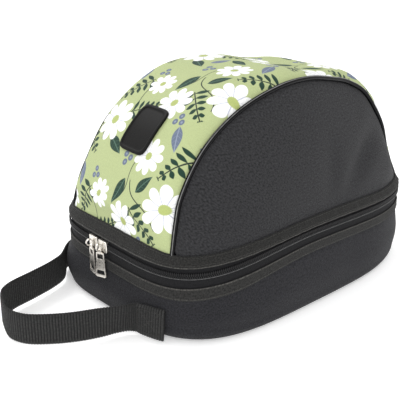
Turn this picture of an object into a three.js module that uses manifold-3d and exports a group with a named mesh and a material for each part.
// A soft helmet case: a low padded base, a zip all round and a dome with a printed middle panel.
// Sizes are in millimetres. Z is up, z = 0 is the ground, and the front with the carry loop faces -Y.
import * as THREE from 'three';
import { mergeVertices } from 'three/addons/utils/BufferGeometryUtils.js';
import ManifoldModule from 'manifold-3d';

const solids = await ManifoldModule();
solids.setup();

// Plan of the case at the zip line.
const HALF_LENGTH = 170;
const HALF_WIDTH = 110;
const FRONT_POWER = 4.2;
const BACK_POWER = 3.1;
const PLAN_TAPER = 0.1;
const RING_STEPS = 64;
const CLEARANCE = 0.3;

// Base: a flat floor and a padded wall that rolls under at its foot.
const PAD = 2.5;
const FOOT_ROLL_FRONT = 9;
const FOOT_ROLL_BACK = 12;
const FOOT_ROLL_STEPS = 3;
const WALL_SWELL = 3.2;
const WALL_SWELL_SHARE = 0.57;
const WALL_NECK_DROP = 4;
const WALL_TUCK = 3.5;
const WALL_TOP_OFFSET = -1.1;
const FOOT_DENT_SHARE = 0.4;
const NECK_DENT_SHARE = 0.6;

// The foot roll is wide at the right front corner and tight at the left one.
const FOOT_ROLL_CORNERS = [
  { place: 0.1, width: 0.05, extra: 7 },
  { place: 0.9, width: 0.07, extra: -5 },
];

// Shallow dents in the base wall, and one swell: place round the plan from 0 to 1, half width, depth.
const WALL_DENTS = [
  { place: 0.092, width: 0.032, depth: 4.0 },
  { place: 0.16, width: 0.03, depth: 1.6 },
  { place: 0.3, width: 0.025, depth: 1.2 },
  { place: 0.39, width: 0.03, depth: 1.8 },
  { place: 0.62, width: 0.03, depth: 1.5 },
  { place: 0.77, width: 0.035, depth: 1.4 },
  { place: 0.9, width: 0.06, depth: -3.5 },
];

// Heights of the bands from the front middle round to the back middle, the same on both sides: foot and
// top edge of the lower binding, the zip, the lip of the upper binding and the foot of the dome.
const BAND_LINES = [
  { place: 0, foot: 42, low: 52.5, zip: 65, lip: 71.5, top: 86 },
  { place: 0.05, foot: 42, low: 53, zip: 65, lip: 71.5, top: 85 },
  { place: 0.09, foot: 42, low: 53.5, zip: 65, lip: 71.5, top: 81.5 },
  { place: 0.12, foot: 44, low: 56, zip: 66.8, lip: 73.8, top: 84 },
  { place: 0.155, foot: 48, low: 60, zip: 71, lip: 76.8, top: 86.5 },
  { place: 0.19, foot: 54.5, low: 64.5, zip: 75.5, lip: 79.5, top: 88.8 },
  { place: 0.23, foot: 58, low: 68, zip: 78, lip: 82, top: 91.2 },
  { place: 0.28, foot: 57.8, low: 67.6, zip: 77.5, lip: 82.2, top: 91.8 },
  { place: 0.32, foot: 56.6, low: 66.2, zip: 76.3, lip: 81.2, top: 90.6 },
  { place: 0.36, foot: 54.5, low: 64.3, zip: 75, lip: 79, top: 88 },
  { place: 0.5, foot: 54, low: 64, zip: 74.5, lip: 79, top: 88.5 },
];

// Tapes and bindings round the zip. Offsets are measured outward from the plan.
const BINDING = 1.2;
const LOWER_BINDING_OFFSET = 0.4;
const UPPER_BINDING_WAIST = 3.2;
const UPPER_BINDING_LIP_OFFSET = 1.0;
const UPPER_BINDING_WAIST_OFFSET = 0.4;
const UPPER_BINDING_TOP_OFFSET = -3.5;
const TAPE = 0.8;
const TAPE_OFFSET = -1.1;
const TAPE_TUCK = 3;
const TAPE_EDGE_GAP = 0.4;
const COIL_HALF_HEIGHT = 2.6;
const COIL_BACK = -0.8;
const COIL_FACE = 1.2;
const COIL_CORNER = 0.9;
const HINGE_CLOTH = 1.2;
const HINGE_FIRST_STEP = 28;
const HINGE_LAST_STEP = 36;

// Dome: the seam between the middle panel and each side panel, and the way the panels swell.
const DOME_FOOT = 89.5;
const DOME_FOOT_OFFSET = UPPER_BINDING_TOP_OFFSET - BINDING - CLEARANCE;
const DOME_HEM_TUCK = 4.2;
const DOME_HEM_OFFSET = -1.85;
const SEAM_FRONT_HALF = 78.5;
const SEAM_BACK_HALF = 66;
const SEAM_SAMPLES = 720;
const SEAM_STEP = 0.004;
const CROWN_POWER = 8;
const FOOT_BLEND = 0.1;
const SWELL_BLEND = 0.06;
const FOLD_EDGE_POWER = 4;
const GUSSET_ROWS = 32;
const GUSSET_COLUMNS = 12;
const SIDE_COLUMNS = 28;
const SIDE_ROWS = 7;
const SIDE_BULGE = 9;
const SIDE_BULGE_SKEW = 0.8;
const SIDE_END_TRIM = 0.014;

// The seam from its front foot to its back foot: place along the case, height, and half the panel's width.
const SEAM = [
  { y: -151, z: 107.5, half: 75.5 },
  { y: -144, z: 125, half: 72.5 },
  { y: -120, z: 161.3, half: 72 },
  { y: -84, z: 188.3, half: 72.5 },
  { y: -36, z: 204.6, half: 72.7 },
  { y: 5, z: 206.8, half: 69.5 },
  { y: 42, z: 201, half: 65 },
  { y: 68, z: 194.5, half: 62 },
  { y: 93, z: 181.5, half: 62.5 },
  { y: 110, z: 160.5, half: 65 },
  { y: 121, z: 143.5, half: 65.5 },
  { y: 131, z: 114, half: 66.5 },
];
const SEAM_TOP = 208;

// How far the middle panel stands out between its seams, along it from the front foot to the back foot.
const CROWN = [
  { along: 0, rise: 10 },
  { along: 0.06, rise: 13 },
  { along: 0.12, rise: 15.5 },
  { along: 0.2, rise: 14.5 },
  { along: 0.35, rise: 15.5 },
  { along: 0.46, rise: 10.5 },
  { along: 0.58, rise: 5 },
  { along: 0.73, rise: 13 },
  { along: 0.82, rise: 19 },
  { along: 0.93, rise: 17 },
  { along: 1, rise: 13 },
];

// Soft folds pressed into the side panels: along from front to back, up from band to seam, depth, and how far
// the fold leans back as it climbs.
const SIDE_FOLDS = [
  { along: 0.2, up: 0.25, width: 0.09, height: 0.3, depth: 2.0, slant: 0 },
  { along: 0.545, up: 0.2, width: 0.035, height: 0.3, depth: 4.0, slant: 0.02 },
  { along: 0.69, up: 0.35, width: 0.045, height: 0.5, depth: 7.0, slant: 0.26 },
  { along: 0.86, up: 0.4, width: 0.05, height: 0.4, depth: -2.5, slant: 0.1 },
];

// Soft folds in the middle panel: along from front to back, across from left to right, and depth.
const GUSSET_FOLDS = [
  { along: 0.15, across: 0.72, width: 0.05, reach: 0.2, depth: 2.2, slant: 0 },
  { along: 0.14, across: -0.7, width: 0.05, reach: 0.2, depth: 1.8, slant: 0 },
  { along: 0.54, across: 0.1, width: 0.07, reach: 0.5, depth: 1.5, slant: 0 },
  { along: 0.88, across: 0.2, width: 0.05, reach: 0.4, depth: 2.0, slant: 0 },
];

// Piping in both seams.
const PIPING_RADIUS = 2.2;
const PIPING_SIDES = 7;
const PIPING_STEPS = 44;
const PIPING_PROUD = 0.4;
const PIPING_ROOM = 0.6;
const SEAM_GAP = PIPING_RADIUS + PIPING_ROOM;

// Moulded badge patch on the front slope of the middle panel.
const BADGE_ALONG = 0.203;
const BADGE_ACROSS = 5.5;
const BADGE_TURN = 0.03;
const BADGE_HALF_WIDTH = 19.2;
const BADGE_HALF_HEIGHT = 21;
const BADGE_CORNER_POWER = 6;
const BADGE_AROUND = 28;
const BADGE_SAMPLES = 360;
const BADGE_SEAT = 0.45;
const BADGE_FACE_STEP = 0.01;
const BADGE_RINGS = [
  { reach: 0.5, lift: 1.5 },
  { reach: 0.84, lift: 1.5 },
  { reach: 0.88, lift: 2.3 },
  { reach: 0.97, lift: 2.3 },
  { reach: 1.0, lift: 1.7 },
  { reach: 1.0, lift: BADGE_SEAT },
  { reach: 0.7, lift: BADGE_SEAT },
  { reach: 0.35, lift: BADGE_SEAT },
];

// Carry loop of webbing, on edge. Sewn ends lie on the wall, given by their run from the front middle.
const STRAP_FOOT = 3.5;
const STRAP_HEIGHT = 27.5;
const STRAP_THICKNESS = 2;
const STRAP_LEAN_FOOT = 2.5;
const STRAP_LEAN_TOP = 0.8;
const STRAP_LEAN_FADE = 24;
const STRAP_SEWN = 29;
const STRAP_TIP = 7;
const STRAP_TIP_RUN = 42;
const STRAP_TIP_WIDTH = 17;
const STRAP_STEPS = 72;
const STRAP_SEWN_STEP = 6;
const STRAP_RIGHT_FAR = 77;
const STRAP_RIGHT_NEAR = 48;
const STRAP_LEFT_NEAR = -100;
const STRAP_LEFT_FAR = -130;
const STRAP_LOOP = [
  { x: 42.5, y: -179 },
  { x: 40, y: -190 },
  { x: 37.5, y: -205 },
  { x: 31, y: -225 },
  { x: 20, y: -245 },
  { x: 7, y: -260 },
  { x: -9, y: -266 },
  { x: -29, y: -262 },
  { x: -47, y: -254 },
  { x: -56, y: -242 },
  { x: -65, y: -214 },
  { x: -73, y: -191 },
  { x: -82.5, y: -173.5 },
];

// Zip sliders, each given by its run from the front middle, and the tabs that hang on them.
const SLIDER_RIGHT_RUN = -6;
const SLIDER_LEFT_RUN = -21.5;
const PULL_RIGHT_TURN = 0.35;
const PULL_LEFT_TURN = -0.14;
const SLIDER_LENGTH = 12.5;
const SLIDER_HALF_HEIGHT = 5.2;
const SLIDER_FLANGE = 1.2;
const SLIDER_FLANGE_DEPTH = -1.7;
const SLIDER_PLATE = 1.6;
const SLIDER_BEVEL = 0.7;
const BAIL_HALF_LENGTH = 5.5;
const BAIL_BAR = 2;
const BAIL_WIDTH = 2.4;
const BAIL_AXIS = 5.8;
const BAIL_LEG = 1.6;
const BAIL_CORNER = 0.6;
const EYE_INNER = 2.35;
const EYE_OUTER = 3.6;
const EYE_WIDTH = 2.6;
const EYE_SIDES = 16;
const TAB_THICKNESS = 1.6;
const TAB_SET_IN = 2.4;
const TAB_SHAPE = [
  { half: 1.3, drop: 1.4 },
  { half: 1.3, drop: 5.4 },
  { half: 4.2, drop: 6.2 },
  { half: 4.7, drop: 8 },
  { half: 4.8, drop: 16 },
  { half: 5.6, drop: 22 },
  { half: 6.2, drop: 27 },
  { half: 5.6, drop: 29.4 },
  { half: 3.6, drop: 30.2 },
];
const TAB_WINDOW = { half: 4.2, top: 23.4, bottom: 28.4 };
const TAB_SLOT = { half: 2.5, top: 7.4, bottom: 12.6 };

const CLOTH_BLACK = { color: 0x1a1a1c, roughness: 0.85, metalness: 0 };
const PANEL_BLACK = { color: 0x202022, roughness: 0.8, metalness: 0 };
const BINDING_BLACK = { color: 0x26231f, roughness: 0.9, metalness: 0 };
const TAPE_BLACK = { color: 0x141416, roughness: 0.85, metalness: 0 };
const COIL_BLACK = { color: 0x101012, roughness: 0.5, metalness: 0 };
const PIPING_BLACK = { color: 0x0e0e10, roughness: 0.35, metalness: 0 };
const PRINT_GREEN = { color: 0xc8d79b, roughness: 0.75, metalness: 0 };
const BADGE_BLACK = { color: 0x161618, roughness: 0.55, metalness: 0 };
const WEBBING_BLACK = { color: 0x1c1c1e, roughness: 0.8, metalness: 0 };
const NICKEL = { color: 0xbfb8aa, roughness: 0.3, metalness: 1 };

const lerp = THREE.MathUtils.lerp;
const smooth = THREE.MathUtils.smoothstep;

function solidMesh(name, finish, points, faces) {
  let volume = 0;
  for (const [a, b, c] of faces) {
    volume += points[a].dot(points[b].clone().cross(points[c]));
  }
  const ordered = volume < 0 ? faces.map(([a, b, c]) => [a, c, b]) : faces;
  const geometry = new THREE.BufferGeometry();
  const flat = points.flatMap((p) => [p.x, p.y, p.z]);
  geometry.setAttribute('position', new THREE.Float32BufferAttribute(flat, 3));
  geometry.setIndex(ordered.flat());
  return geometryMesh(name, finish, geometry);
}

function geometryMesh(name, finish, geometry) {
  geometry.computeVertexNormals();
  const mesh = new THREE.Mesh(geometry, new THREE.MeshStandardMaterial(finish));
  mesh.name = name;
  return mesh;
}

// Plan outline, walked by length from the middle of the front towards the right.
function planCorner(angle) {
  const side = Math.sin(angle);
  const front = Math.cos(angle);
  const power = 2 / (front >= 0 ? FRONT_POWER : BACK_POWER);
  const back = -Math.sign(front) * Math.abs(front) ** power;
  const half = HALF_WIDTH * (1 - PLAN_TAPER * back);
  return new THREE.Vector2(half * Math.sign(side) * Math.abs(side) ** power, HALF_LENGTH * back);
}

function walkByLength(points) {
  const lengths = [0];
  for (let i = 1; i < points.length; i += 1) {
    lengths.push(lengths[i - 1] + points[i].distanceTo(points[i - 1]));
  }
  const total = lengths[lengths.length - 1];
  const at = (fraction) => {
    const wanted = fraction * total;
    let low = 0;
    let high = lengths.length - 1;
    while (high - low > 1) {
      const middle = (low + high) >> 1;
      if (lengths[middle] <= wanted) low = middle;
      else high = middle;
    }
    const share = (wanted - lengths[low]) / (lengths[high] - lengths[low]);
    return points[low].clone().lerp(points[high], share);
  };
  return { at, total };
}

const PLAN_SAMPLES = 2880;
const BISECTIONS = 60;
const NEAR_FRONT = 0.01;
const SIDE_MIDDLE = 0.25;
const NEAR_BACK = 0.49;
const plan = walkByLength(
  Array.from({ length: PLAN_SAMPLES + 1 }, (_, i) => planCorner((i / PLAN_SAMPLES) * 2 * Math.PI)),
);
const NORMAL_REACH = 0.004;

function planAt(fraction) {
  const wrap = (value) => value - Math.floor(value);
  const point = plan.at(wrap(fraction));
  const ahead = plan.at(wrap(fraction + NORMAL_REACH));
  const along = ahead.sub(plan.at(wrap(fraction - NORMAL_REACH))).normalize();
  return { point, along, out: new THREE.Vector2(along.y, -along.x) };
}

function ringPoint(fraction, offset, height) {
  const { point, out } = planAt(fraction);
  return new THREE.Vector3(point.x + out.x * offset, point.y + out.y * offset, height);
}

// The same place on the flat sides of the ring pieces, for panels that lie against them.
function facetPoint(fraction, offset, heightAt) {
  const step = Math.floor(fraction * RING_STEPS);
  const corner = (s) => ringPoint(s / RING_STEPS, offset, heightAt(s / RING_STEPS));
  return corner(step).lerp(corner(step + 1), fraction * RING_STEPS - step);
}

// Height of one of the band lines at a place round the case.
function bandLine(fraction, line) {
  const away = Math.abs(fraction - Math.round(fraction));
  const next = Math.max(1, BAND_LINES.findIndex((row) => row.place >= away));
  const low = BAND_LINES[next - 1];
  const high = BAND_LINES[next];
  return lerp(low[line], high[line], (away - low.place) / (high.place - low.place));
}

const domeFoot = (fraction) => bandLine(fraction, 'top');
const domeHem = (fraction) => bandLine(fraction, 'lip') + DOME_HEM_TUCK;

// A ring piece: one closed profile of offsets and heights carried round the plan, whole or in part.
function ringMesh(name, finish, fractions, profileAt, closed) {
  const points = [];
  const faces = [];
  const profiles = fractions.map((fraction) => profileAt(fraction));
  const count = profiles[0].length;
  fractions.forEach((fraction, i) => {
    profiles[i].forEach(([offset, height]) => points.push(ringPoint(fraction, offset, height)));
  });
  const last = closed ? fractions.length : fractions.length - 1;
  for (let i = 0; i < last; i += 1) {
    const next = (i + 1) % fractions.length;
    for (let j = 0; j < count; j += 1) {
      const up = (j + 1) % count;
      const corner = [i * count + j, next * count + j, next * count + up, i * count + up];
      faces.push([corner[0], corner[1], corner[2]], [corner[0], corner[2], corner[3]]);
    }
  }
  if (!closed) {
    const flat = profiles[0].map(([offset, height]) => new THREE.Vector2(offset, height));
    const shift = (fractions.length - 1) * count;
    for (const [a, b, c] of THREE.ShapeUtils.triangulateShape(flat, [])) {
      faces.push([a, b, c], [shift + a, shift + c, shift + b]);
    }
  }
  return solidMesh(name, finish, points, faces);
}

const wholeRing = Array.from({ length: RING_STEPS }, (_, i) => i / RING_STEPS);
const clearanceFraction = CLEARANCE / plan.total;

function ringPart(firstStep, lastStep) {
  return Array.from({ length: lastStep - firstStep + 1 }, (_, i) => {
    const step = firstStep + i;
    if (i === 0) return step / RING_STEPS + clearanceFraction / 2;
    if (step === lastStep) return step / RING_STEPS - clearanceFraction / 2;
    return step / RING_STEPS;
  });
}

// Base floor and wall.
function footRoll(fraction) {
  const even = lerp(FOOT_ROLL_FRONT, FOOT_ROLL_BACK, (1 - Math.cos(2 * Math.PI * fraction)) / 2);
  return FOOT_ROLL_CORNERS.reduce(
    (sum, corner) => sum + corner.extra * Math.exp(-(((fraction - corner.place) / corner.width) ** 2)),
    even,
  );
}

function wallDent(fraction) {
  return WALL_DENTS.reduce(
    (sum, dent) => sum - dent.depth * Math.exp(-(((fraction - dent.place) / dent.width) ** 2)),
    0,
  );
}

function wallProfile(fraction) {
  const roll = footRoll(fraction);
  const dent = wallDent(fraction);
  const foot = bandLine(fraction, 'foot');
  const top = bandLine(fraction, 'low') - WALL_TUCK;
  const swellHeight = foot * WALL_SWELL_SHARE;
  const outside = [];
  const inside = [];
  for (let i = 0; i <= FOOT_ROLL_STEPS; i += 1) {
    const angle = (i / FOOT_ROLL_STEPS - 1) * (Math.PI / 2);
    const soft = dent * FOOT_DENT_SHARE * (i / FOOT_ROLL_STEPS);
    outside.push([soft - roll + roll * Math.cos(angle), roll + roll * Math.sin(angle)]);
    inside.push([soft - roll + (roll - PAD) * Math.cos(angle), roll + (roll - PAD) * Math.sin(angle)]);
  }
  outside.push([WALL_SWELL + dent, swellHeight]);
  inside.push([WALL_SWELL + dent - PAD, swellHeight]);
  outside.push([dent * NECK_DENT_SHARE, foot - WALL_NECK_DROP]);
  outside.push([WALL_TOP_OFFSET, foot], [WALL_TOP_OFFSET, top]);
  inside.push([WALL_TOP_OFFSET - PAD, foot], [WALL_TOP_OFFSET - PAD, top]);
  return [...outside, ...inside.reverse()];
}

function floorMesh() {
  const rim = wholeRing.map((fraction) => ringPoint(fraction, -footRoll(fraction) - CLEARANCE, 0));
  const shape = new THREE.Shape(rim.map((p) => new THREE.Vector2(p.x, p.y)));
  const geometry = new THREE.ExtrudeGeometry(shape, { depth: PAD, bevelEnabled: false });
  return geometryMesh('base_floor', CLOTH_BLACK, geometry);
}

// Bindings, zip tapes, coil and rear hinge.
function strip(outer, thickness, foot, top) {
  return [[outer - thickness, foot], [outer, foot], [outer, top], [outer - thickness, top]];
}

function upperBindingProfile(fraction) {
  const lip = bandLine(fraction, 'lip');
  const rows = [
    [UPPER_BINDING_LIP_OFFSET, lip],
    [UPPER_BINDING_WAIST_OFFSET, lip + UPPER_BINDING_WAIST],
    [UPPER_BINDING_TOP_OFFSET, domeFoot(fraction)],
  ];
  const inside = rows.map(([offset, height]) => [offset - BINDING, height]).reverse();
  return [...rows, ...inside];
}

function coilProfile(fraction) {
  const foot = bandLine(fraction, 'zip') - COIL_HALF_HEIGHT;
  const top = bandLine(fraction, 'zip') + COIL_HALF_HEIGHT;
  return [
    [COIL_BACK, foot],
    [COIL_FACE - COIL_CORNER, foot],
    [COIL_FACE, foot + COIL_CORNER],
    [COIL_FACE, top - COIL_CORNER],
    [COIL_FACE - COIL_CORNER, top],
    [COIL_BACK, top],
  ];
}

const zipRun = ringPart(HINGE_LAST_STEP, HINGE_FIRST_STEP + RING_STEPS);
const hingeRun = ringPart(HINGE_FIRST_STEP, HINGE_LAST_STEP);
const tapeFoot = (fraction) => bandLine(fraction, 'low') - TAPE_TUCK;
const tapeTop = (fraction) => bandLine(fraction, 'lip') + TAPE_TUCK;
const lowerTape = (f) => strip(TAPE_OFFSET, TAPE, tapeFoot(f), bandLine(f, 'zip') - TAPE_EDGE_GAP);
const upperTape = (f) => strip(TAPE_OFFSET, TAPE, bandLine(f, 'zip') + TAPE_EDGE_GAP, tapeTop(f));
const lowerBinding = (f) => strip(LOWER_BINDING_OFFSET, BINDING, bandLine(f, 'foot'), bandLine(f, 'low'));
const hingeStrip = (f) => strip(TAPE_OFFSET, HINGE_CLOTH, tapeFoot(f), tapeTop(f));

// The seam's foot lies on the dome's foot line, where the panel edge is this far from the middle.
function footFraction(half, low, high) {
  const rising = ringPoint(high, DOME_FOOT_OFFSET, 0).x > ringPoint(low, DOME_FOOT_OFFSET, 0).x;
  let a = low;
  let b = high;
  for (let i = 0; i < BISECTIONS; i += 1) {
    const middle = (a + b) / 2;
    const beyond = ringPoint(middle, DOME_FOOT_OFFSET, 0).x > half;
    if (beyond === rising) b = middle;
    else a = middle;
  }
  return (a + b) / 2;
}

const frontFoot = footFraction(SEAM_FRONT_HALF, NEAR_FRONT, SIDE_MIDDLE);
const backFoot = footFraction(SEAM_BACK_HALF, SIDE_MIDDLE, NEAR_BACK);

const seamCurve = new THREE.CatmullRomCurve3([
  ringPoint(frontFoot, DOME_FOOT_OFFSET, domeFoot(frontFoot)),
  ...SEAM.map(({ y, z, half }) => new THREE.Vector3(half, y, z)),
  ringPoint(backFoot, DOME_FOOT_OFFSET, domeFoot(backFoot)),
], false, 'centripetal');
const seam = walkByLength(seamCurve.getPoints(SEAM_SAMPLES));

function seamAlong(along) {
  return seam.at(Math.min(1, along + SEAM_STEP)).sub(seam.at(Math.max(0, along - SEAM_STEP))).normalize();
}

// Outward direction of the middle panel at a place along it.
function seamOut(along) {
  const run = seamAlong(along);
  return new THREE.Vector3(0, -run.z, run.y).normalize();
}

function pressed(folds, along, across, widthKey, reachKey, acrossKey) {
  return folds.reduce((sum, fold) => {
    const climb = across - fold[acrossKey];
    const a = (along - fold.along - fold.slant * climb) / fold[widthKey];
    const b = climb / fold[reachKey];
    return sum + fold.depth * Math.exp(-a * a - b * b);
  }, 0);
}

function crownRise(along) {
  const next = Math.max(1, CROWN.findIndex((row) => row.along >= along));
  const low = CROWN[next - 1];
  const high = CROWN[next];
  return lerp(low.rise, high.rise, smooth(along, low.along, high.along));
}

// Outer face of the middle panel: along runs from the front foot to the back foot, across from -1 to 1.
function gussetPoint(along, across) {
  const edge = seam.at(along);
  const chord = new THREE.Vector3(across * edge.x, edge.y, edge.z);
  const front = along < 0.5;
  const reach = front ? across * frontFoot : 0.5 - across * (0.5 - backFoot);
  const footEdge = seam.at(front ? 0 : 1);
  const onFoot = facetPoint(reach, DOME_FOOT_OFFSET, domeFoot);
  const footShift = onFoot.sub(new THREE.Vector3(across * footEdge.x, footEdge.y, footEdge.z));
  const fromFoot = Math.min(along, 1 - along);
  const hold = 1 - smooth(fromFoot, 0, FOOT_BLEND);
  const free = smooth(fromFoot, 0, SWELL_BLEND);
  const crown = crownRise(along);
  const toRim = Math.min(1, Math.abs(across) / (1 - SEAM_GAP / edge.x));
  const swell = crown * (1 - toRim ** CROWN_POWER);
  const fold = pressed(GUSSET_FOLDS, along, across, 'width', 'reach', 'across');
  const dent = fold * (1 - across ** FOLD_EDGE_POWER);
  return chord
    .addScaledVector(seamOut(along), (swell - dent) * free)
    .addScaledVector(footShift, hold);
}

// Outer face of a side panel: along runs from front to back, up from the band to the seam.
function sidePoint(along, up) {
  const place = lerp(frontFoot, backFoot, along);
  const foot = facetPoint(place, DOME_FOOT_OFFSET, domeFoot);
  const top = seam.at(along);
  const height = top.distanceTo(foot);
  const slant = seamAlong(along).cross(foot.clone().sub(top).normalize()).length();
  top.lerp(foot, SEAM_GAP / (height * slant));
  const out = planAt(place).out;
  const share = Math.min(1, height / (SEAM_TOP - DOME_FOOT));
  const swell = SIDE_BULGE * share * Math.sin(Math.PI * up ** SIDE_BULGE_SKEW);
  const dent = pressed(SIDE_FOLDS, along, up, 'width', 'height', 'up') * Math.sin(Math.PI * up) * share;
  const point = foot.lerp(top, up);
  point.x += out.x * (swell - dent);
  point.y += out.y * (swell - dent);
  return point;
}

// A padded sheet: a grid of outer points, thickened inward and closed along its four edges.
function sheetMesh(name, finish, outer, thickness, mirror) {
  const rows = outer.length;
  const columns = outer[0].length;
  const clampRow = (r) => Math.min(rows - 1, Math.max(0, r));
  const clampColumn = (c) => Math.min(columns - 1, Math.max(0, c));
  const normalAt = (r, c) => {
    const down = outer[clampRow(r + 1)][c].clone().sub(outer[clampRow(r - 1)][c]);
    const over = outer[r][clampColumn(c + 1)].clone().sub(outer[r][clampColumn(c - 1)]);
    return over.cross(down).normalize();
  };
  const points = [];
  outer.forEach((row) => row.forEach((p) => points.push(p.clone())));
  outer.forEach((row, r) => row.forEach((p, c) => {
    points.push(p.clone().addScaledVector(normalAt(r, c), -thickness));
  }));
  if (mirror) points.forEach((p) => { p.x = -p.x; });
  const under = rows * columns;
  const at = (r, c) => r * columns + c;
  const faces = [];
  const quad = (a, b, c, d) => faces.push([a, b, c], [a, c, d]);
  for (let r = 0; r < rows - 1; r += 1) {
    for (let c = 0; c < columns - 1; c += 1) {
      quad(at(r, c), at(r, c + 1), at(r + 1, c + 1), at(r + 1, c));
      quad(under + at(r, c), under + at(r + 1, c), under + at(r + 1, c + 1), under + at(r, c + 1));
    }
  }
  for (let c = 0; c < columns - 1; c += 1) {
    quad(at(0, c), under + at(0, c), under + at(0, c + 1), at(0, c + 1));
    const r = rows - 1;
    quad(at(r, c), at(r, c + 1), under + at(r, c + 1), under + at(r, c));
  }
  for (let r = 0; r < rows - 1; r += 1) {
    quad(at(r, 0), at(r + 1, 0), under + at(r + 1, 0), under + at(r, 0));
    const c = columns - 1;
    quad(at(r, c), under + at(r, c), under + at(r + 1, c), at(r + 1, c));
  }
  return solidMesh(name, finish, points, faces);
}

function gussetMesh() {
  const acrossAt = (c, along) => {
    const trim = 1 - SEAM_GAP / seam.at(along).x;
    return trim * Math.sin((c / GUSSET_COLUMNS - 0.5) * Math.PI);
  };
  const columns = Array.from({ length: GUSSET_COLUMNS + 1 }, (_, c) => c);
  const hemPoint = (place) => facetPoint(place, DOME_HEM_OFFSET, domeHem);
  const frontHem = columns.map((c) => hemPoint(acrossAt(c, 0) * frontFoot));
  const backHem = columns.map((c) => hemPoint(0.5 - acrossAt(c, 1) * (0.5 - backFoot)));
  const rows = Array.from({ length: GUSSET_ROWS + 1 }, (_, r) => {
    return columns.map((c) => gussetPoint(r / GUSSET_ROWS, acrossAt(c, r / GUSSET_ROWS)));
  });
  return sheetMesh('dome_gusset', PRINT_GREEN, [frontHem, ...rows, backHem], PAD, false);
}

function sideMesh(name, mirror) {
  const alongs = Array.from({ length: SIDE_COLUMNS + 1 }, (_, c) => {
    return lerp(SIDE_END_TRIM, 1 - SIDE_END_TRIM, c / SIDE_COLUMNS);
  });
  const hem = alongs.map((a) => facetPoint(lerp(frontFoot, backFoot, a), DOME_HEM_OFFSET, domeHem));
  const rows = Array.from({ length: SIDE_ROWS + 1 }, (_, r) => {
    return alongs.map((a) => sidePoint(a, r / SIDE_ROWS));
  });
  return sheetMesh(name, PANEL_BLACK, [hem, ...rows], PAD, mirror);
}

function pipingMesh(name, mirror) {
  const points = [];
  const faces = [];
  for (let i = 0; i <= PIPING_STEPS; i += 1) {
    const along = i / PIPING_STEPS;
    const run = seamAlong(along);
    const out = seamOut(along);
    const side = out.clone().cross(run).normalize();
    const up = run.clone().cross(side);
    const lean = Math.sin(Math.PI * along);
    const centre = seam.at(along);
    centre.addScaledVector(out, PIPING_PROUD * lean);
    centre.x += PIPING_PROUD * lean;
    for (let j = 0; j < PIPING_SIDES; j += 1) {
      const turn = (j / PIPING_SIDES) * 2 * Math.PI;
      const p = centre.clone().addScaledVector(side, PIPING_RADIUS * Math.cos(turn));
      p.addScaledVector(up, PIPING_RADIUS * Math.sin(turn));
      if (i === 0) p.z = facetPoint(frontFoot, DOME_FOOT_OFFSET, domeFoot).z + CLEARANCE;
      if (i === PIPING_STEPS) p.z = facetPoint(backFoot, DOME_FOOT_OFFSET, domeFoot).z + CLEARANCE;
      if (mirror) p.x = -p.x;
      points.push(p);
    }
  }
  for (let i = 0; i < PIPING_STEPS; i += 1) {
    for (let j = 0; j < PIPING_SIDES; j += 1) {
      const next = (j + 1) % PIPING_SIDES;
      const a = i * PIPING_SIDES;
      const b = a + PIPING_SIDES;
      faces.push([a + j, b + j, b + next], [a + j, b + next, a + next]);
    }
  }
  const end = PIPING_STEPS * PIPING_SIDES;
  for (let j = 1; j < PIPING_SIDES - 1; j += 1) {
    faces.push([0, j, j + 1], [end, end + j + 1, end + j]);
  }
  return solidMesh(name, PIPING_BLACK, points, faces);
}

// The badge follows the middle panel's face, with a rim that stands proud.
function badgeMesh() {
  const alongPerMm = 1 / seam.total;
  const face = (x, y, lift) => {
    const along = BADGE_ALONG + y * alongPerMm;
    const across = (x + BADGE_ACROSS) / seam.at(along).x;
    const step = BADGE_FACE_STEP;
    const run = gussetPoint(along + step, across).sub(gussetPoint(along - step, across));
    const over = gussetPoint(along, across + step).sub(gussetPoint(along, across - step));
    return gussetPoint(along, across).addScaledVector(over.cross(run).normalize(), lift);
  };
  const points = [face(0, 0, BADGE_RINGS[0].lift)];
  const faces = [];
  const power = 2 / BADGE_CORNER_POWER;
  const edge = walkByLength(Array.from({ length: BADGE_SAMPLES + 1 }, (_, i) => {
    const turn = (i / BADGE_SAMPLES) * 2 * Math.PI;
    const over = Math.cos(turn);
    const up = Math.sin(turn);
    return new THREE.Vector2(
      BADGE_HALF_WIDTH * Math.sign(over) * Math.abs(over) ** power,
      BADGE_HALF_HEIGHT * Math.sign(up) * Math.abs(up) ** power,
    );
  }));
  for (const { reach, lift } of BADGE_RINGS) {
    for (let j = 0; j < BADGE_AROUND; j += 1) {
      const corner = edge.at(j / BADGE_AROUND).rotateAround(new THREE.Vector2(), -BADGE_TURN);
      points.push(face(corner.x * reach, corner.y * reach, lift));
    }
  }
  const last = points.length;
  points.push(face(0, 0, BADGE_SEAT));
  const ringStart = (k) => 1 + k * BADGE_AROUND;
  for (let j = 0; j < BADGE_AROUND; j += 1) {
    const next = (j + 1) % BADGE_AROUND;
    faces.push([0, ringStart(0) + j, ringStart(0) + next]);
    for (let k = 0; k < BADGE_RINGS.length - 1; k += 1) {
      const a = ringStart(k);
      const b = ringStart(k + 1);
      faces.push([a + j, b + j, b + next], [a + j, b + next, a + next]);
    }
    const under = ringStart(BADGE_RINGS.length - 1);
    faces.push([last, under + next, under + j]);
  }
  return solidMesh('badge_patch', BADGE_BLACK, points, faces);
}

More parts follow.
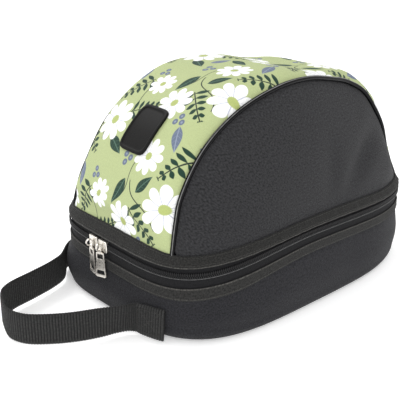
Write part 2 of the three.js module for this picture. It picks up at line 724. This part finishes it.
// Carry loop: sewn ends on the wall and a free loop between them, carried by a smooth plan curve.
function strapMesh() {
  const offset = WALL_SWELL + CLEARANCE + STRAP_THICKNESS / 2;
  const sewn = (from, to) => {
    const count = Math.round(Math.abs(to - from) / STRAP_SEWN_STEP);
    return Array.from({ length: count + 1 }, (_, i) => {
      const place = lerp(from, to, i / count) / plan.total;
      return ringPoint(place, offset + wallDent(place - Math.floor(place)), 0);
    });
  };
  const loop = STRAP_LOOP.map(({ x, y }) => new THREE.Vector3(x, y, 0));
  const run = [...sewn(STRAP_RIGHT_FAR, STRAP_RIGHT_NEAR), ...loop, ...sewn(STRAP_LEFT_NEAR, STRAP_LEFT_FAR)];
  const path = new THREE.CatmullRomCurve3(run, false, 'centripetal');
  const points = [];
  const faces = [];
  for (let i = 0; i <= STRAP_STEPS; i += 1) {
    const centre = path.getPointAt(i / STRAP_STEPS);
    const along = path.getTangentAt(i / STRAP_STEPS);
    const out = new THREE.Vector3(along.y, -along.x, 0);
    const toEnd = Math.min(i, STRAP_STEPS - i) * (path.getLength() / STRAP_STEPS);
    const sewnShare = 1 - smooth(toEnd, STRAP_SEWN, STRAP_SEWN + STRAP_LEAN_FADE);
    const fromTip = (path.getLength() * (i / STRAP_STEPS) - STRAP_TIP_RUN) / STRAP_TIP_WIDTH;
    const tip = STRAP_TIP * Math.exp(-fromTip * fromTip);
    for (const [side, share] of [[1, 0], [-1, 0], [-1, 1], [1, 1]]) {
      const lean = lerp(-STRAP_LEAN_FOOT, STRAP_LEAN_TOP, share) * sewnShare - tip * share;
      const p = centre.clone().addScaledVector(out, side * (STRAP_THICKNESS / 2) + lean);
      p.z = STRAP_FOOT + STRAP_HEIGHT * share;
      points.push(p);
    }
  }
  const corners = 4;
  for (let i = 0; i < STRAP_STEPS; i += 1) {
    for (let j = 0; j < corners; j += 1) {
      const next = (j + 1) % corners;
      const a = i * corners;
      const b = a + corners;
      faces.push([a + j, b + j, b + next], [a + j, b + next, a + next]);
    }
  }
  const end = STRAP_STEPS * corners;
  faces.push([0, 1, 2], [0, 2, 3], [end, end + 2, end + 1], [end, end + 3, end + 2]);
  return solidMesh('handle_strap', WEBBING_BLACK, points, faces);
}

// Sliders and tabs are drawn flat and joined, with x along the zip, y up and z outward from the coil.
const MERGE_REACH = 1e-4;

function toSolid(geometry) {
  const plain = geometry.clone();
  plain.deleteAttribute('normal');
  plain.deleteAttribute('uv');
  const merged = mergeVertices(plain, MERGE_REACH);
  return new solids.Manifold(new solids.Mesh({
    numProp: 3,
    vertProperties: new Float32Array(merged.attributes.position.array),
    triVerts: new Uint32Array(merged.index.array),
  }));
}

function joined(geometries) {
  const mesh = solids.Manifold.union(geometries.map(toSolid)).getMesh();
  const geometry = new THREE.BufferGeometry();
  geometry.setAttribute('position', new THREE.Float32BufferAttribute(Array.from(mesh.vertProperties), 3));
  geometry.setIndex(Array.from(mesh.triVerts));
  return geometry;
}

function extruded(shape, depth) {
  return new THREE.ExtrudeGeometry(shape, { depth, bevelEnabled: false, curveSegments: EYE_SIDES / 4 });
}

function polygon(pairs) {
  return new THREE.Shape(pairs.map(([x, y]) => new THREE.Vector2(x, y)));
}

const ACROSS_ZIP = new THREE.Matrix4().makeBasis(
  new THREE.Vector3(0, 1, 0),
  new THREE.Vector3(0, 0, 1),
  new THREE.Vector3(1, 0, 0),
);
const ALONG_ZIP = new THREE.Matrix4().makeBasis(
  new THREE.Vector3(1, 0, 0),
  new THREE.Vector3(0, 0, 1),
  new THREE.Vector3(0, -1, 0),
);

function sliderGeometry() {
  const half = SLIDER_HALF_HEIGHT;
  const inner = half - SLIDER_FLANGE;
  const face = CLEARANCE + SLIDER_PLATE;
  const channel = extruded(polygon([
    [-half, SLIDER_FLANGE_DEPTH], [-inner, SLIDER_FLANGE_DEPTH], [-inner, CLEARANCE], [inner, CLEARANCE],
    [inner, SLIDER_FLANGE_DEPTH], [half, SLIDER_FLANGE_DEPTH], [half, face - SLIDER_BEVEL],
    [half - SLIDER_BEVEL, face], [SLIDER_BEVEL - half, face], [-half, face - SLIDER_BEVEL],
  ]), SLIDER_LENGTH);
  channel.applyMatrix4(ACROSS_ZIP);
  channel.translate(-SLIDER_LENGTH / 2, 0, 0);
  const top = BAIL_AXIS + BAIL_BAR / 2;
  const sill = BAIL_AXIS - BAIL_BAR / 2;
  const leg = BAIL_HALF_LENGTH - BAIL_LEG;
  const sunk = CLEARANCE + SLIDER_PLATE / 2;
  const bail = extruded(polygon([
    [-BAIL_HALF_LENGTH, sunk], [-leg, sunk], [-leg, sill - BAIL_CORNER], [BAIL_CORNER - leg, sill],
    [leg - BAIL_CORNER, sill], [leg, sill - BAIL_CORNER], [leg, sunk], [BAIL_HALF_LENGTH, sunk],
    [BAIL_HALF_LENGTH, sill], [leg - BAIL_CORNER, top], [BAIL_CORNER - leg, top], [-BAIL_HALF_LENGTH, sill],
  ]), BAIL_WIDTH);
  bail.applyMatrix4(ALONG_ZIP);
  bail.translate(0, BAIL_WIDTH / 2, 0);
  return joined([channel, bail]);
}

function pullGeometry(turn) {
  const ring = new THREE.Shape();
  ring.absarc(0, 0, EYE_OUTER, 0, 2 * Math.PI, false);
  const bore = new THREE.Path();
  bore.absarc(0, 0, EYE_INNER, 0, 2 * Math.PI, true);
  ring.holes.push(bore);
  const eye = extruded(ring, EYE_WIDTH);
  eye.applyMatrix4(ACROSS_ZIP);
  eye.translate(-EYE_WIDTH / 2, 0, BAIL_AXIS);
  const right = TAB_SHAPE.map(({ half, drop }) => [half, -drop]);
  const left = TAB_SHAPE.map(({ half, drop }) => [-half, -drop]).reverse();
  const blade = polygon([...left, ...right].reverse());
  for (const { half, top, bottom } of [TAB_WINDOW, TAB_SLOT]) {
    blade.holes.push(new THREE.Path([
      new THREE.Vector2(-half, -top), new THREE.Vector2(half, -top),
      new THREE.Vector2(half, -bottom), new THREE.Vector2(-half, -bottom),
    ]));
  }
  const tab = extruded(blade, TAB_THICKNESS);
  tab.translate(0, 0, BAIL_AXIS - TAB_SET_IN - TAB_THICKNESS / 2);
  const pull = joined([eye, tab]);
  pull.translate(0, 0, -BAIL_AXIS);
  pull.rotateY(turn);
  pull.translate(0, 0, BAIL_AXIS);
  return pull;
}

// Stands a drawn piece on the coil at its run from the front middle.
function onZip(name, finish, geometry, run) {
  const { along, out } = planAt(run / plan.total);
  const seat = ringPoint(run / plan.total, COIL_FACE, bandLine(run / plan.total, 'zip'));
  const placed = new THREE.Matrix4().makeBasis(
    new THREE.Vector3(along.x, along.y, 0),
    new THREE.Vector3(0, 0, 1),
    new THREE.Vector3(out.x, out.y, 0),
  ).setPosition(seat);
  geometry.applyMatrix4(placed);
  return geometryMesh(name, finish, geometry);
}

const group = new THREE.Group();
group.name = 'helmet_case';
group.add(floorMesh());
group.add(ringMesh('base_wall', CLOTH_BLACK, wholeRing, wallProfile, true));
group.add(ringMesh('lower_binding', BINDING_BLACK, wholeRing, lowerBinding, true));
group.add(ringMesh('zip_tape_lower', TAPE_BLACK, zipRun, lowerTape, false));
group.add(ringMesh('zip_tape_upper', TAPE_BLACK, zipRun, upperTape, false));
group.add(ringMesh('zip_coil', COIL_BLACK, zipRun, coilProfile, false));
group.add(ringMesh('rear_hinge', TAPE_BLACK, hingeRun, hingeStrip, false));
group.add(ringMesh('upper_binding', BINDING_BLACK, wholeRing, upperBindingProfile, true));
group.add(gussetMesh());
group.add(sideMesh('side_panel_right', false));
group.add(sideMesh('side_panel_left', true));
group.add(pipingMesh('piping_right', false));
group.add(pipingMesh('piping_left', true));
group.add(badgeMesh());
group.add(strapMesh());
group.add(onZip('slider_right', NICKEL, sliderGeometry(), SLIDER_RIGHT_RUN));
group.add(onZip('slider_left', NICKEL, sliderGeometry(), SLIDER_LEFT_RUN));
group.add(onZip('pull_right', NICKEL, pullGeometry(PULL_RIGHT_TURN), SLIDER_RIGHT_RUN));
group.add(onZip('pull_left', NICKEL, pullGeometry(PULL_LEFT_TURN), SLIDER_LEFT_RUN));

export default group;
